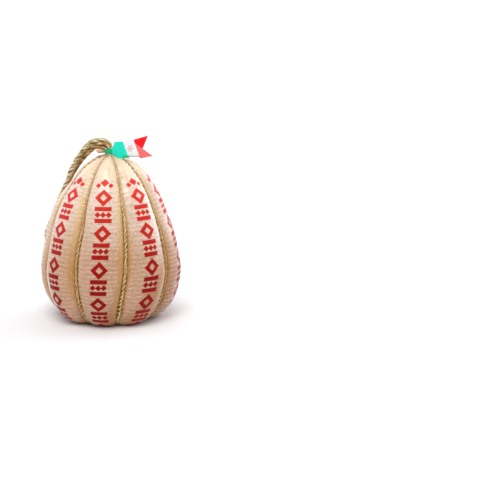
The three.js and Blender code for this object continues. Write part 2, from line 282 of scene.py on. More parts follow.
class BodySettings(bpy.types.PropertyGroup):
    height: length_of("Height", "From the floor to the neck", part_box("cheese")[1].z)
    belly_radius: length_of("Belly radius", "Half of the body's greatest width", 0.1565)
    belly_height: length_of("Belly height", "Height at which the body is widest", 0.114)
    foot_radius: length_of("Foot radius", "Where the lower round meets the base", 0.086)
    shoulder_fullness: number_of("Shoulder fullness", "Curve from the belly to the neck", 1.4)
    shoulder_roundness: number_of("Shoulder roundness", "Roundness of the top", 0.43)
    groove_depth: number_of("Groove depth", "As a share of the body's radius", 0.085)
    groove_power: number_of("Groove power", "How sharply a rib turns into a groove", 2.6)
    base_groove_depth: length_of("Base groove depth", "Least depth below the belly", 0.0085)
    first_groove: number_of("First groove", "Degrees from the front to the first groove", 13)
    unevenness: length_of("Unevenness", "How far the hand-formed skin swells and dips", 0.0008)
    pucker: length_of("Pucker", "Depth of the wrinkles beside the cords", 0.0005)
    rows: IntProperty(name="Rows", description="Faces from neck to base", default=300)
    columns: IntProperty(name="Columns", description="Faces across a rib", default=28)
    pale: colour_of("Pale rind", "Bare rind round the neck", paint(250, 226, 194))
    honey: colour_of("Honey rind", "Bare rind of the shoulder", paint(238, 207, 158))
    amber: colour_of("Amber rind", "Bare rind of the belly", paint(187, 133, 70))
    # Painted shade: the colour the rind is darkened to beside the cords, where shade falls in the
    # grooves.
    painted_groove_shade: colour_of("Painted groove shade", "Bare rind beside the cords", paint(146, 98, 36))
    chalk: colour_of("Chalk print", "Printed field of the shoulder", paint(247, 221, 205))
    clay: colour_of("Clay print", "Printed field of the belly", paint(202, 156, 124))
    # Partly the rind's own crust near the base, partly painted shade near the floor.
    crust_and_shade: colour_of("Crust and shade", "Printed field near the base", paint(172, 112, 68))
    # Lighter ink of the shoulder: partly its own colour, partly painted light.
    scarlet: colour_of("Scarlet print", "Ornaments of the shoulder", paint(228, 58, 46))
    red: colour_of("Red print", "Ornaments of the belly", paint(144, 0, 0))


class NetSettings(bpy.types.PropertyGroup):
    radius: length_of("Cord radius", "Half of a net cord's thickness", 0.0034)
    lift: length_of("Lift", "The cord's middle above the floor of its groove", 0.0014)
    lay: length_of("Lay", "Length in which a strand goes once round", 0.020)
    neck_ring: length_of("Neck ring", "Where the cords reach the neck", 0.0125)
    base_ring: length_of("Base ring", "Where the cords reach the base tie", 0.014)
    waist_at: length_of("Thin above", "Height from which a cord is drawn thin", 0.31)
    waist: number_of("Thinness", "The cord's thickness there, as a share", 0.56)
    straw: colour_of("Straw", "Light fibres at the neck", paint(252, 230, 190))
    shade: colour_of("Shade", "Dark fibres at the neck", paint(208, 162, 104))
    low_straw: colour_of("Low straw", "Light fibres at the belly", paint(240, 214, 162))
    low_shade: colour_of("Low shade", "Dark fibres at the belly", paint(190, 144, 82))


class LoopSettings(bpy.types.PropertyGroup):
    radius: length_of("Rope radius", "Half of the rope's thickness", 0.0053)
    lay: length_of("Lay", "Length in which a strand goes once round", 0.040)
    straw: colour_of("Straw", "Light fibres of the inner leg", paint(246, 204, 138))
    shade: colour_of("Shade", "Dark fibres of the inner leg", paint(134, 92, 34))
    low_straw: colour_of("Outer straw", "Light fibres of the outer leg", paint(248, 237, 194))
    low_shade: colour_of("Outer shade", "Dark fibres of the outer leg", paint(166, 138, 84))


class PennantSettings(bpy.types.PropertyGroup):
    thickness: length_of("Card thickness", "Of each of the two layers", 0.0005)
    green: colour_of("Green", "Field at the hoist", paint(4, 236, 204))
    # Painted shade: the green card where it curls round the neck or lies behind the front layer.
    shaded_green: colour_of("Shaded green", "Tongue and folded edge", paint(0, 188, 124))
    white: colour_of("White", "Middle field", paint(250, 250, 250))
    # Painted reflection: the red card of the lower tail with a pale glare painted into its
    # colour.
    coral: colour_of("Glare red", "Lower tail, in the light", paint(255, 116, 112))
    red: colour_of("Red", "Upper tail, folded off the light", paint(252, 4, 22))
    # Painted shade: the white back layer's lower edge, grey where it lies in shadow.
    edge: colour_of("Shaded edge", "Cut edge below the middle field", paint(196, 196, 186))
    rosette: colour_of("Rosette", "Mark on the middle field", paint(236, 182, 184))


class StageSettings(bpy.types.PropertyGroup):
    floor: colour_of("Floor", "Plain pale floor", paint(244, 244, 244))
    key: number_of("Key", "Strength of the key light", 1.5)
    room: number_of("Room", "Strength of the surroundings", 0.9)
    lens: FloatProperty(name="Lens", description="Focal length", default=102.4, unit="CAMERA")
    camera: FloatVectorProperty(
        name="Camera", description="Where the camera stands", default=(0, -3.1232, 0.8668),
        subtype="TRANSLATION", unit="LENGTH",
    )
    pitch: number_of("Pitch", "Degrees looking down", 13)
    yaw: number_of("Yaw", "Degrees turned towards +X", 5.733)


# ---------------------------------------------------------------- shapes


def smooth(x):
    x = np.clip(x, 0, 1)
    return x * x * (3 - 2 * x)


def profile(body, u):
    """Radius and height of the body's outline at u, from 0 at the top to 1 below."""
    s = np.cos(np.clip(u / SHOULDER_END, 0, 1) * math.pi / 2)
    fall = np.maximum(0, 1 - s**body.shoulder_fullness)
    turn = np.clip((u - SHOULDER_END) / (ROUND_END - SHOULDER_END), 0, 1) * math.pi / 2
    flat = np.clip((u - ROUND_END) / (BASE_END - ROUND_END), 0, 1)
    hollow = np.clip((u - BASE_END) / (1 - BASE_END), 0, 1)
    stretch = [u < SHOULDER_END, u < ROUND_END, u < BASE_END]
    radius = np.select(
        stretch,
        [
            body.belly_radius * fall**body.shoulder_roundness,
            body.foot_radius + (body.belly_radius - body.foot_radius) * np.cos(turn),
            body.foot_radius + (DIMPLE_RADIUS - body.foot_radius) * flat,
        ],
        DIMPLE_RADIUS * (1 - hollow),
    )
    height = np.select(
        stretch,
        [
            body.belly_height + (body.height - body.belly_height) * s,
            body.belly_height - (body.belly_height + PAD_SINK) * np.sin(turn),
            -PAD_SINK + 0 * u,
        ],
        DIMPLE_DEPTH * smooth(DIMPLE_STEEPNESS * hollow) - PAD_SINK,
    )
    return radius, height


def profile_normal(body, u):
    """Outward direction of the outline, as its parts along the radius and the height."""
    step = 1e-3
    r0, z0 = profile(body, np.maximum(0, u - step))
    r1, z1 = profile(body, np.minimum(1, u + step))
    size = np.hypot(r1 - r0, z1 - z0)
    return (z0 - z1) / size, (r1 - r0) / size


def groove_depth(body, u):
    radius, height = profile(body, u)
    depth = body.groove_depth * radius
    return np.where(
        height < body.belly_height, np.maximum(depth, body.base_groove_depth), depth
    )


def groove_angle(body, index, height):
    """Direction of a groove at a height, in degrees from the front towards +X."""
    neck = smooth((height - NECK_DRIFT_FROM) / (body.height - NECK_DRIFT_FROM))
    waist = smooth(1 - np.abs(height - WAIST_DRIFT_AT) / WAIST_DRIFT_REACH)
    foot = smooth((FOOT_DRIFT_BELOW - height) / FOOT_DRIFT_BELOW)
    groove = index % RIBS
    drift = NECK_DRIFT[groove] * neck + WAIST_DRIFT[groove] * waist + FOOT_DRIFT[groove] * foot
    return body.first_groove + index * RIB_ANGLE + drift


def placed(body, radius, angle, height):
    """Points from their distance to the body's axis, their direction and their height."""
    lean = smooth((height - NECK_LEAN_FROM) / (body.height - NECK_LEAN_FROM))
    turn = np.radians(angle)
    return np.stack(
        np.broadcast_arrays(
            NECK[0] * lean + radius * np.sin(turn), NECK[1] * lean - radius * np.cos(turn), height
        ),
        axis=-1,
    )


def waves(points, wavelength, seed, count=14):
    """A smooth random value for each point, about 1 in size: a sum of plane waves."""
    draw = np.random.default_rng(seed)
    points = np.asarray(points)
    total = np.zeros(points.shape[:-1])
    for _ in range(count):
        way = draw.normal(size=points.shape[-1])
        way *= 2 * math.pi / (wavelength * draw.uniform(0.7, 1.5) * np.linalg.norm(way))
        total += np.cos(points @ way + draw.uniform(0, 2 * math.pi))
    return total * math.sqrt(2 / count)


def travelled(points):
    """Distance along a line to each of its points."""
    return np.concatenate([[0], np.cumsum(np.linalg.norm(np.diff(points, axis=0), axis=1))])


def outline_places(body, count):
    """Places on the outline at equal distances along it, and those distances."""
    fine = np.linspace(0, 1, FINE_PLACES)
    along = travelled(np.stack(profile(body, fine), -1))
    distances = np.linspace(0, along[-1], count)
    return np.interp(distances, along, fine), distances


def rib_places(columns):
    """Places across a rib from -1 to 1, closer together towards its grooves."""
    even = np.linspace(-1, 1, columns + 1)
    return np.sign(even) * (1 - (1 - np.abs(even)) ** 1.5)


def swells_and_wrinkles(body, plain, along, height, across, from_groove):
    """How far the small forms lift the plain skin."""
    lift = body.unevenness * waves(plain, SWELL_WAVE, 3)
    lift = lift + RIPPLE_SHARE * body.unevenness * waves(plain, RIPPLE_WAVE, 4)
    low = smooth((75 * MM - height) / (50 * MM))
    high = smooth((height - 310 * MM) / (30 * MM))
    fold = np.exp(-(((from_groove - WRINKLE_AT) / WRINKLE_REACH) ** 2))
    fold = fold * smooth(from_groove / WRINKLE_START) * (0.7 + 1.6 * low + 0.9 * high)
    for groove in range(RIBS):
        for side, here in enumerate((across > 0, across < 0)):
            rib = (groove - 1 + side) % RIBS
            wave = waves(along[:, None], WRINKLE_WAVE, 40 + 2 * groove + side)
            wrinkles = np.where(here, body.pucker * fold * wave[:, None, None], 0)
            lift[:, rib] += wrinkles[:, rib]
    return lift


def skin(body, net, rows, columns):
    """The body's skin as points by row, rib and column, with three measures for its pattern:
    the distance along the outline, that from a rib's middle, and that to the next groove."""
    u, along = outline_places(body, rows + 1)
    u = u[:, None, None]
    rib = np.arange(RIBS)[None, :, None]
    across = rib_places(columns)[None, None, :]
    radius, height = profile(body, u)
    outward, upward = profile_normal(body, u)
    near, far = groove_angle(body, rib, height), groove_angle(body, rib + 1, height)
    angle = near + (far - near) * (across + 1) / 2
    half_width = radius * np.radians(far - near) / 2
    from_groove = (1 - np.abs(across)) * half_width

    # A cord has pressed a round seat for itself into the floor of its groove.
    depth = groove_depth(body, u)
    drop = depth * np.abs(across) ** body.groove_power
    room = net.radius * cord_share(net, height) + CORD_ROOM
    pressed = depth - net.lift + np.sqrt(np.maximum(0, room**2 - from_groove**2))
    drop = np.where(from_groove < room, np.maximum(drop, pressed), drop)

    plain = placed(body, radius - outward * drop, angle, height - upward * drop)
    drop = drop - swells_and_wrinkles(body, plain, along, height, across, from_groove)

    slump = RIB_SLUMP[rib] * smooth((height - SLUMP_FROM) / (SLUMP_FULL - SLUMP_FROM))
    swell = 1 + (RIB_SWELL[rib] - slump) * (1 - across**2)
    r = np.maximum(0, radius - outward * drop) * swell
    r[[0, -1]] = 0
    z = np.maximum(0, height - upward * drop)
    z[0] = z[0].mean()
    z[-1] = z[-1].mean()
    points = placed(body, r, angle, z)
    steps = np.linalg.norm(np.diff(points, axis=2), axis=-1)
    reach = np.concatenate([np.zeros_like(steps[:, :, :1]), np.cumsum(steps, axis=2)], axis=2)
    reach -= reach[:, :, columns // 2][:, :, None]
    return points, along, reach, np.broadcast_to(from_groove, points.shape[:3])


def net_point(body, net, u, index):
    """The middle of a net cord at u, a little above the floor of its groove."""
    radius, height = profile(body, u)
    outward, upward = profile_normal(body, u)
    drop = groove_depth(body, u) - net.lift
    angle = groove_angle(body, index, height)
    return placed(body, radius - outward * drop, angle, height - upward * drop)


def cord_share(net, height):
    """Thickness of a net cord at a height, as a share of its full thickness."""
    return net.waist + (1 - net.waist) * smooth((net.waist_at - height) / (100 * MM))


def evenly(points, step):
    """A line through points with its own points at about equal distances."""
    along = travelled(points)
    where = np.linspace(0, along[-1], max(2, round(along[-1] / step) + 1))
    return np.stack([np.interp(where, along, points[:, k]) for k in range(3)], axis=1)


def blend(first, second, t, start, end):
    """From one point at a start to another at an end, and on beyond both."""
    return ((end - t) * first + (t - start) * second) / (end - start)


def curve_through(route, step):
    """A smooth centripetal curve through a route's points, as evenly spaced points."""
    points = np.array(route)
    before, after = 2 * points[0] - points[1], 2 * points[-1] - points[-2]
    points = np.concatenate([[before], points, [after]])
    line = []
    for a, b, c, d in zip(points, points[1:], points[2:], points[3:]):
        spans = np.linalg.norm([b - a, c - b, d - c], axis=1) ** 0.5
        t0, t1, t2, t3 = 0, *np.cumsum(spans)
        t = np.linspace(t1, t2, 16, endpoint=False)[:, None]
        ab, bc, cd = blend(a, b, t, t0, t1), blend(b, c, t, t1, t2), blend(c, d, t, t2, t3)
        abc, bcd = blend(ab, bc, t, t0, t2), blend(bc, cd, t, t1, t3)
        line.append(blend(abc, bcd, t, t1, t2))
    return evenly(np.concatenate([*line, points[-2:-1]]), step)


def unit(vectors):
    return vectors / np.linalg.norm(vectors, axis=-1, keepdims=True)


def frames_along(line):
    """Directions along and across a line, turned as little as they can be."""
    tangent = unit(np.gradient(line, axis=0))
    side = np.cross(tangent[0], [0.3, 0.2, 0.9])
    sides = []
    for t in tangent:
        side = side - (side @ t) * t
        side = side / np.linalg.norm(side)
        sides.append(side)
    sides = np.array(sides)
    return tangent, sides, np.cross(tangent, sides)


# ---------------------------------------------------------------- meshes


def deselect():
    if bpy.context.mode != "OBJECT":
        bpy.ops.object.mode_set(mode="OBJECT")
    bpy.ops.object.select_all(action="DESELECT")


def pick(piece):
    deselect()
    piece.select_set(True)
    bpy.context.view_layer.objects.active = piece


def added(name, data):
    """A new object in the scene, for a mesh, a camera or a lamp."""
    piece = bpy.data.objects.new(name, data)
    bpy.context.scene.collection.objects.link(piece)
    return piece


def mesh_piece(name, points, faces):
    mesh = bpy.data.meshes.new(name)
    mesh.from_pydata(np.asarray(points).tolist(), [], faces)
    mesh.update()
    return added(name, mesh)


def corner_map(mesh, name, values):
    """Stores a place on a flat map for each corner of each face."""
    layer = mesh.uv_layers.new(name=name)
    layer.data.foreach_set("uv", np.asarray(values, np.float32).ravel())


def finish_piece(piece, slot, *nodes):
    """Smooths a piece, puts it on the body that carries it, and hides what it stands for."""
    pick(piece)
    bpy.ops.object.shade_smooth()
    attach(piece, "root")
    if nodes:
        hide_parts(*nodes)


class Tubes:
    """Closed tubes with equal numbers of rings and sides, gathered into one mesh."""

    def __init__(self, rings, sides):
        self.rings = rings
        self.sides = sides
        self.around = np.linspace(0, 2 * math.pi, sides, endpoint=False)
        self.points, self.quads, self.caps = [], [], []

    def add(self, line, size, out, cross):
        """Adds a tube about a line, with its size and two directions across at each ring."""
        ring = (
            line[:, None]
            + (size * np.cos(self.around))[..., None] * out[:, None]
            + (size * np.sin(self.around))[..., None] * cross[:, None]
        )
        first = len(self.points) * self.rings * self.sides
        last = first + (self.rings - 1) * self.sides
        self.points.append(ring.reshape(-1, 3))
        start = np.arange(first, last, self.sides)[:, None]
        left = np.arange(self.sides)
        right = (left + 1) % self.sides
        end = start + self.sides
        quads = np.stack([start + left, start + right, end + right, end + left], -1)
        self.quads += quads.reshape(-1, 4).tolist()
        self.caps.append(list(range(first, first + self.sides))[::-1])
        self.caps.append(list(range(last, last + self.sides)))

    def piece(self, name):
        return mesh_piece(name, np.concatenate(self.points), self.quads + self.caps)


def map_strands(mesh, along, strands, sides):
    """Lays the skin of a cord's strands out flat. The map "twist" holds the share of the way
    round a strand and the distance along it, and "OFBake" the strands, cut into strips."""
    steps = len(along) - 1
    strips = max(1, round(along[-1] / BAKE_STRIP))
    strip = np.minimum(strips - 1, np.arange(steps) * strips // steps)[:, None, None]
    u = (np.arange(sides)[:, None] + [0, 1, 1, 0]) / sides
    v = np.stack([along[:-1], along[:-1], along[1:], along[1:]], -1)[:, None]
    u, v = np.broadcast_arrays(u, v)
    down = 0.01 + 0.97 * np.clip(v * strips / along[-1] - strip, 0, 1.01)
    baked = []
    for strand in range(strands):
        across = strand * strips + strip + BAKE_GAP + (1 - 2 * BAKE_GAP) * u
        across = across / (strands * strips)
        baked.append(np.stack([across, down], -1).reshape(-1, 2))
    # The caps at the strands' ends lie together in a corner of each map.
    caps = np.zeros((2 * strands * sides, 2))
    corner_map(mesh, "OFBake", np.concatenate([*baked, caps + 0.002]))
    twist = np.stack([u, v], -1).reshape(-1, 2)
    corner_map(mesh, "twist", np.concatenate([*[twist] * strands, caps]))


def laid_cord(
    name, line, radius, lay, strands=3, sides=10, ridges=0, seed=1, taper=1, wander=0.16,
    tone=0.5, ease=1,
):
    """A laid cord: round strands that wind about a line. Taper is the share of its thickness
    and ease the share of its twist, and "tone" holds how light each strand is."""
    _, side, up = frames_along(line)
    along = travelled(line)
    scale = np.broadcast_to(taper, len(line))
    wound = np.cumsum(ease * np.gradient(along)) / lay
    strand_radius = 0.5 * radius
    tubes = Tubes(len(line), sides)
    tones = []
    for strand in range(strands):
        turn = 2 * math.pi * (strand / strands + wound)
        turn = turn + wander * waves(along[:, None], 1.3 * lay, seed + 7 * strand)
        out = np.cos(turn)[:, None] * side + np.sin(turn)[:, None] * up
        centre = line + (scale * (radius - strand_radius))[:, None] * out
        cross = np.cross(unit(np.gradient(centre, axis=0)), out)
        swell = 1 + 0.05 * waves(along[:, None], 0.9 * lay, seed + 50 + strand)
        size = (scale * strand_radius * swell)[:, None]
        if ridges:
            yarn = ridges * tubes.around - 2 * math.pi * along[:, None] / (0.55 * lay)
            size = size * (1 + 0.085 * np.cos(yarn))
        tubes.add(centre, size, out, cross)
        own = tone + 0.4 * waves(along[:, None], 0.5 * lay, seed + 90 + strand)
        tones.append(np.repeat(own, sides))
    piece = tubes.piece(name)
    map_strands(piece.data, along, strands, sides)
    stored = piece.data.attributes.new("tone", "FLOAT", "POINT")
    stored.data.foreach_set("value", np.concatenate(tones).astype(np.float32))
    return piece


def stray_fibres(name, line, radius, count, longest, thickness, seed):
    """Fine fibres that have worked loose from a cord and stand off it."""
    draw = np.random.default_rng(seed)
    tangent, side, up = frames_along(line)
    share = np.linspace(0, 1, 5)[:, None]
    fibres = Tubes(len(share), 3)
    for _ in range(count):
        at = draw.integers(1, len(line) - 1)
        turn = draw.uniform(0, 2 * math.pi)
        out = math.cos(turn) * side[at] + math.sin(turn) * up[at]
        sweep = np.cross(tangent[at], out) * draw.normal(0, 0.5)
        length = longest * draw.uniform(0.35, 1)
        rise = length * draw.uniform(0.05, 0.3)
        way = tangent[at] * draw.choice([-1, 1])
        root = line[at] + 0.86 * radius * out
        fibre = root + length * share * way + rise * share**1.6 * out
        fibre = fibre + 0.6 * length * share**2 * sweep
        _, across, normal = frames_along(fibre)
        fibres.add(fibre, thickness * (1 - 0.75 * share), across, normal)
    return fibres.piece(name)


# ---------------------------------------------------------------- materials


def arithmetic(operation, swapped=False):
    """A method that adds the node for an operation on a value and something else."""

    def method(value, other):
        pair = (other, value) if swapped else (value, other)
        return value.nodes.math(operation, *pair)

    return method


class Value:
    """A number, colour or vector inside a shader. Arithmetic on a number adds the nodes that
    work it out."""

    __add__ = arithmetic("ADD")
    __sub__ = arithmetic("SUBTRACT")
    __rsub__ = arithmetic("SUBTRACT", swapped=True)
    __mul__ = arithmetic("MULTIPLY")
    __truediv__ = arithmetic("DIVIDE")
    __rtruediv__ = arithmetic("DIVIDE", swapped=True)
    __mod__ = arithmetic("MODULO")

    def __init__(self, nodes, socket):
        self.nodes = nodes
        self.socket = socket

    def __abs__(self):
        return self.nodes.math("ABSOLUTE", self)


class Nodes:
    """Adds nodes to a material, a group or the surroundings, and links them."""

    def __init__(self, tree):
        self.tree = tree

    def feed(self, socket, value):
        """Links a value to an input, or sets the input to a number or a colour."""
        if isinstance(value, Value):
            self.tree.links.new(value.socket, socket)
        elif socket.type == "RGBA":
            socket.default_value = (*value, 1)
        else:
            socket.default_value = value

    def add(self, kind, inputs, output=0, **settings):
        """Adds a node with its settings and inputs, and gives one of its outputs."""
        node = self.tree.nodes.new(kind)
        for key, value in settings.items():
            setattr(node, key, value)
        for key, value in inputs.items():
            self.feed(node.inputs[key], value)
        return Value(self, node.outputs[output])

    def shade(self, inputs):
        """Sets inputs of a material's own shader."""
        shader = self.tree.nodes["Principled BSDF"]
        for key, value in inputs.items():
            self.feed(shader.inputs[key], value)

    def math(self, operation, *values, clamp=False):
        inputs = dict(enumerate(values))
        return self.add("ShaderNodeMath", inputs, operation=operation, use_clamp=clamp)

    def most(self, first, second):
        return self.math("MAXIMUM", first, second)

    def step(self, value, low, high):
        """From 0 at low to 1 at high, smoothly."""
        inputs = {"Value": value, "From Min": low, "From Max": high}
        return self.add("ShaderNodeMapRange", inputs, interpolation_type="SMOOTHSTEP")

    def mix(self, share, first, second, blend="MIX"):
        inputs = {0: share, 6: first, 7: second}
        return self.add("ShaderNodeMix", inputs, 2, data_type="RGBA", blend_type=blend)

    def point(self, x, y, z=0.0):
        return self.add("ShaderNodeCombineXYZ", {0: x, 1: y, 2: z})

    def parts(self, vector):
        first = self.add("ShaderNodeSeparateXYZ", {0: vector})
        return [Value(self, socket) for socket in first.socket.node.outputs]

    def group(self, tree, inputs):
        """Adds a group, and gives its outputs by name."""
        first = self.add("ShaderNodeGroup", inputs, node_tree=tree)
        return {socket.name: Value(self, socket) for socket in first.socket.node.outputs}

    def noise(self, vector, scale, detail=2, roughness=0.5, output="Fac"):
        inputs = {"Vector": vector, "Scale": scale, "Detail": detail, "Roughness": roughness}
        return self.add("ShaderNodeTexNoise", inputs, output)

    def chance(self, *place):
        """A random value for each place, which is given by two or three numbers."""
        return self.add("ShaderNodeTexWhiteNoise", {"Vector": self.point(*place)})

    def place(self, kind="Object"):
        return self.add("ShaderNodeTexCoord", {}, kind)

    def map(self, name):
        return self.add("ShaderNodeUVMap", {}, uv_map=name)

    def value_of(self, name, output="Fac"):
        return self.add("ShaderNodeAttribute", {}, output, attribute_name=name)

    def bump(self, height, distance, strength=1):
        inputs = {"Height": height, "Distance": distance, "Strength": strength}
        return self.add("ShaderNodeBump", inputs)


def new_material(name):
    material = bpy.data.materials.new(name)
    material.use_nodes = True
    return material, Nodes(material.node_tree)


def shader_group(name, inputs, outputs, fill):
    """A node group with named inputs and outputs, made once and filled by a function."""
    group = bpy.data.node_groups.get(name)
    if group:
        return group
    group = bpy.data.node_groups.new(name, "ShaderNodeTree")
    for direction, labels in (("INPUT", inputs), ("OUTPUT", outputs)):
        for label, kind in labels.items():
            group.interface.new_socket(label, in_out=direction, socket_type=f"NodeSocket{kind}")
    nodes = Nodes(group)
    entry = group.nodes.new("NodeGroupInput")
    leave = group.nodes.new("NodeGroupOutput")
    given = {socket.name: Value(nodes, socket) for socket in entry.outputs}
    for label, value in fill(nodes, given).items():
        nodes.feed(leave.inputs[label], value)
    return group


def handled(nodes, given):
    """Fine grain and faint smears, as on anything that has been handled."""
    grain = nodes.noise(given["Vector"], 1 / given["Grain"], 3, 0.6)
    smear = nodes.noise(given["Vector"], 0.12 / given["Grain"], 4, 0.65)
    return {"Grain": grain, "Smear": nodes.step(smear, 0.35, 0.68)}


def grain_of(nodes, size):
    """The grain and the smears of a surface, whose grains have this size."""
    inputs = {"Vector": "Vector", "Grain": "Float"}
    group = shader_group("Handled surface", inputs, {"Grain": "Float", "Smear": "Float"}, handled)
    return nodes.group(group, {"Vector": nodes.place(), "Grain": size})


def twisted_fibre(nodes, given):
    """Fibres and yarns that wind round a strand: a colour, and a height for its relief."""
    around, along, _ = nodes.parts(given["Twist"])
    tone = given["Tone"]
    pitches = along / given["Pitch"]
    wound = around * given["Yarns"] + pitches
    yarn = nodes.math("COSINE", wound * (2 * math.pi)) * 0.5 + 0.5
    fibre = nodes.noise(nodes.point(wound * 3, pitches * 0.22, tone), 3.4, 4, 0.7)
    patch = nodes.noise(nodes.point(around, pitches, tone), 0.8)
    light = fibre * 1.9 + yarn * 0.34 + patch * 1.1 + tone * 0.6 - 1.37
    bright = nodes.math("MULTIPLY", light, 1, clamp=True)
    dark = nodes.math("MULTIPLY", light, -1.4, clamp=True)
    colour = nodes.mix(bright, given["Shade"], given["Straw"])
    colour = nodes.mix(dark * 0.5, colour, paint(48, 32, 8))
    # Painted shade: the side of each strand that faces the others turns to the dark fibre colour
    # and towards black.
    outward = abs(around * 2 - 1)
    out_of_crevice = nodes.step(outward, given["Crevice"], given["Crevice"] + 0.36)
    crevice_shade = nodes.mix(given["Depth"], given["Shade"], (0, 0, 0))
    return {"Color": nodes.mix(out_of_crevice, crevice_shade, colour), "Height": fibre * 0.5 + yarn}


def fibre_material(name, settings, winding, relief, axis, start, end):
    """Plant fibre, as in the net cords, the ties and the loop. Its low colours turn into the
    others from a start to an end: heights if axis is "height", or distances along it."""
    inputs = dict.fromkeys(["Tone", "Yarns", "Pitch", "Crevice", "Depth"], "Float")
    inputs.update(Twist="Vector", Straw="Color", Shade="Color")
    outputs = {"Color": "Color", "Height": "Float"}
    group = shader_group("Twisted fibre", inputs, outputs, twisted_fibre)
    material, nodes = new_material(name)
    if axis == "height":
        _, _, where = nodes.parts(nodes.place())
    else:
        _, where, _ = nodes.parts(nodes.map("twist"))
    share = nodes.step(where, start, end)
    own = {
        "Twist": nodes.map("twist"),
        "Tone": nodes.value_of("tone"),
        "Straw": nodes.mix(share, settings.low_straw, settings.straw),
        "Shade": nodes.mix(share, settings.low_shade, settings.shade),
    }
    fibre = nodes.group(group, {**winding, **own})
    nodes.shade({
        "Base Color": fibre["Color"],
        "Normal": nodes.bump(fibre["Height"], relief),
        "Roughness": 0.82,
        "Specular IOR Level": 0.35,
    })
    return material


def lozenge(x, y, centre_x, centre_y, half):
    """Distance from a lozenge's middle as a share of its half width: 1 at its edge."""
    return (abs(x - centre_x) + abs(y - centre_y)) / half


def within(nodes, share, edge=0.04):
    return nodes.step(share, 1 + edge, 1 - edge)


def ornament(nodes, x, y):
    """A column of hollow lozenges, bars and rows of small lozenges; all in mm."""
    down = (y + ORNAMENT_REPEAT) % ORNAMENT_REPEAT
    ring = lozenge(x, down, 0, 19.5, 19.5)
    mark = within(nodes, ring) - nodes.step(ring, 0.42, 0.36)
    for bar in (44.5, 70.5):
        stripe = within(nodes, abs(x) / 18.5, 0.02) * nodes.step(abs(down - bar), 5.1, 4.5)
        mark = nodes.most(mark, stripe)
    for side in (-12, 0, 12):
        mark = nodes.most(mark, within(nodes, lozenge(x, down, side, 57.5, 6.9), 0.08))
    return mark * nodes.step(y, -2, 0)


def finial(nodes, x, y):
    """Three lozenges in a fan, which end the column at the top; all in mm."""
    mark = within(nodes, lozenge(x, y, 0, -15.5, 10), 0.06)
    for side in (-13.5, 13.5):
        mark = nodes.most(mark, within(nodes, lozenge(x, y, side, -9, 6.4), 0.08))
    return mark


class RibPlace:
    """Where a point of the rind lies on its rib, in mm: x across from the rib's middle, y down
    along it from the neck, and the gap to the groove. Share is x from -1 to 1."""

    def __init__(self, nodes):
        across, along, _ = nodes.parts(nodes.map("rib"))
        self.share, self.rib, gap = nodes.parts(nodes.value_of("rib_place", "Vector"))
        self.nodes = nodes
        self.x, self.y, self.gap = across / MM, along / MM, gap / MM
        self.seat = nodes.point(self.x, self.y, self.rib * 53)

    def noise(self, x_scale, y_scale, detail, roughness=0.5):
        """Noise with its own scales across and along a rib."""
        place = self.nodes.point(self.x * x_scale, self.y * y_scale, self.rib)
        return self.nodes.noise(place, 1, detail, roughness)

    def between(self, low, high):
        """From 0 at one distance below the neck to 1 at another."""
        return self.nodes.step(self.y, low, high)

    def on(self, rib):
        """1 on one rib and 0 on the others."""
        return self.nodes.math("COMPARE", self.rib, rib, 0.5)


def bare_rind(nodes, body, at, cloud, level):
    """Pale at the neck, honey on the shoulder, amber on the belly, with painted shade beside the
    cords.
    """
    # Darker towards the base: partly the rind's own deeper colour, partly painted shade.
    toward_base = nodes.step(level, 110, 320)
    rind = nodes.mix(toward_base, body.honey, body.amber)
    rind = nodes.mix(nodes.step(level, 60, 170), body.pale, rind)
    # Painted shade: the rind darkens close to a groove, more so lower down.
    painted_groove_shade = nodes.step(cloud * 5 + at.gap, 15, 5) * (toward_base * 0.68 + 0.22)
    rind = nodes.mix(painted_groove_shade, rind, body.painted_groove_shade)
    mottle = nodes.step(nodes.noise(at.seat, 0.11, 4, 0.65), 0.42, 0.7)
    rind = nodes.mix(mottle * 0.22, rind, paint(230, 192, 140))
    streak = nodes.step(at.noise(0.25, 0.018, 3, 0.6), 0.45, 0.7)
    rind = nodes.mix(streak * 0.3, rind, body.amber)
    # Painted shade: the far right rib and the lower right flank of the right rib are darkened, as
    # though in shadow.
    painted_side_shade = at.on(FAR_RIGHT) * at.between(120, 400)
    painted_side_shade = at.on(RIGHT) * at.between(310, 400) * nodes.step(at.share, 0.3, 0.7) + painted_side_shade
    return nodes.mix(painted_side_shade * 0.6, rind, paint(140, 96, 36))


def print_rows(nodes, at, fine):
    """Number of each row of the print, and the distance to the row's middle. Rows wander."""
    line = at.y / ROW_PITCH + at.noise(0.02, 0.012, 2) * 0.9 + fine * 0.5
    return nodes.math("FLOOR", line), abs(nodes.math("FRACT", line) - 0.5)


def field_share(nodes, at, waver, lean, row, fine):
    """How much of the printed field shows. It reaches the grooves only near the base."""
    fringe = (fine - 0.5) * 0.3 + (nodes.chance(row, at.rib) - 0.5) * 0.05
    left = at.between(395, 470) * -0.3 - 0.82
    left = at.on(LEFT) * at.between(270, 170) * 0.2 + left
    right = at.on(FRONT) * at.between(395, 470) * 0.4 + 0.68
    right = at.on(LEFT) * at.between(330, 430) * 0.3 + right
    right = at.on(RIGHT) * at.between(110, 190) * at.between(330, 260) * 0.17 + right
    right = at.on(RIGHT) * at.between(270, 400) * -0.16 + right
    inner = nodes.step(lean + fringe - left, *FIELD_EDGE)
    outer = nodes.step(right - lean + fringe, *FIELD_EDGE)
    return inner * outer * nodes.step(waver * 30 + at.y, 66, 124)


